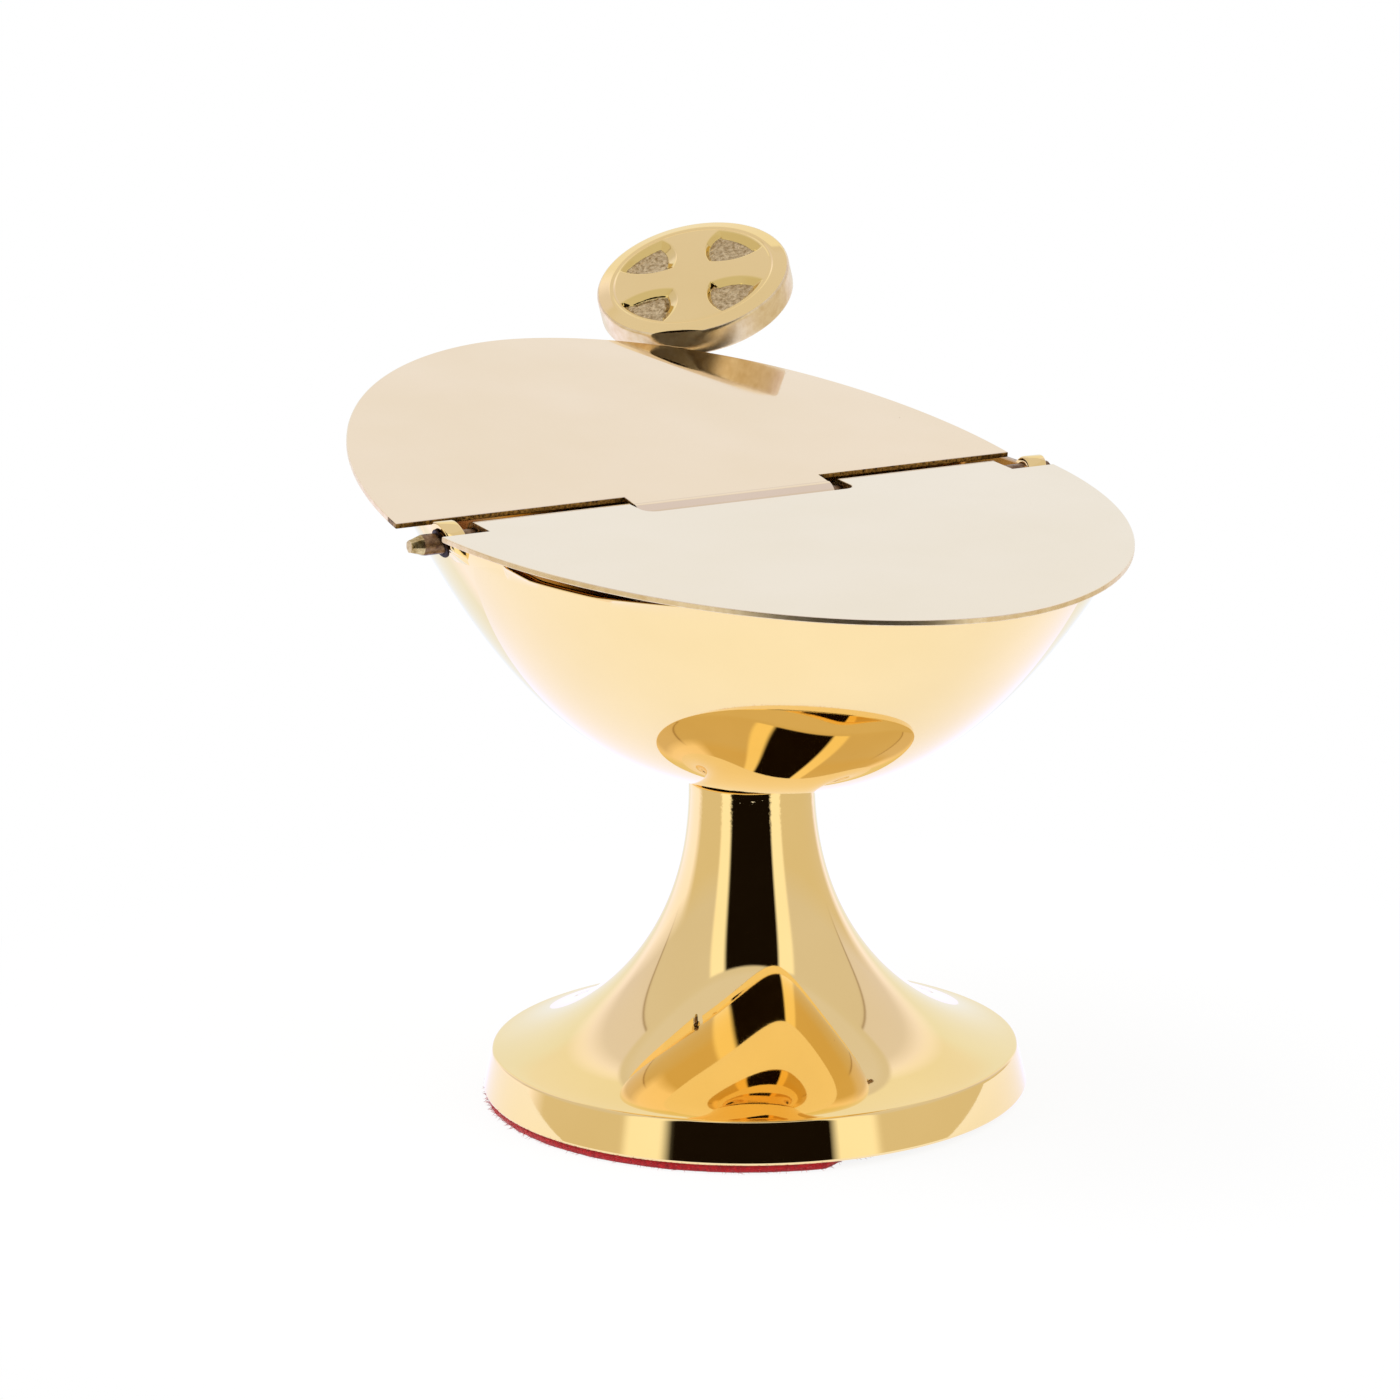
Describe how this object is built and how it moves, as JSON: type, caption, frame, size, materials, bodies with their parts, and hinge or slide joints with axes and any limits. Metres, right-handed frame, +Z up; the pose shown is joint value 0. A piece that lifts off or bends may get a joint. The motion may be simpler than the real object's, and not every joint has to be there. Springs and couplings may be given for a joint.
{
  "type": "incense boat",
  "caption": "Footed brass incense boat: an oval bowl on a trumpet foot, with half lids hinged on a transverse pin and a round cross medallion as thumb-piece.",
  "frame": {"origin": "middle of the felt's underside, on the axis of the foot and stem", "axes": "+Z up along the stem, +X along the boat towards the plain front lid, Y along the hinge pin"},
  "size_m": [0.1354, 0.093, 0.1024],
  "materials": {
    "polished_brass": "mirror polished, lightly worn",
    "plain_brass": "as machined, dull",
    "tarnished_brass": "brown tarnish",
    "felt": "red wool felt"
  },
  "bodies": {
    "base": {"felt_pad": "felt", "foot": "polished_brass", "foot_washer": "plain_brass", "foot_nut": "plain_brass", "stem_stud": "plain_brass", "bowl": "polished_brass", "hinge_pin": "tarnished_brass", "pin_washer": "tarnished_brass"},
    "front": {"front_lid": "polished_brass"},
    "rear": {"rear_lid": "polished_brass", "medallion": "polished_brass"}
  },
  "joints": [
    {"name": "front_lid_hinge", "type": "hinge", "parent": "base", "child": "front", "pos_m": [0, 0, 0.0766], "axis": [0, -1, 0], "range_deg": [0, 40]},
    {"name": "rear_lid_hinge", "type": "hinge", "parent": "base", "child": "rear", "pos_m": [0, 0, 0.0766], "axis": [0, 1, 0], "range_deg": [-8.3, 50]}
  ]
}
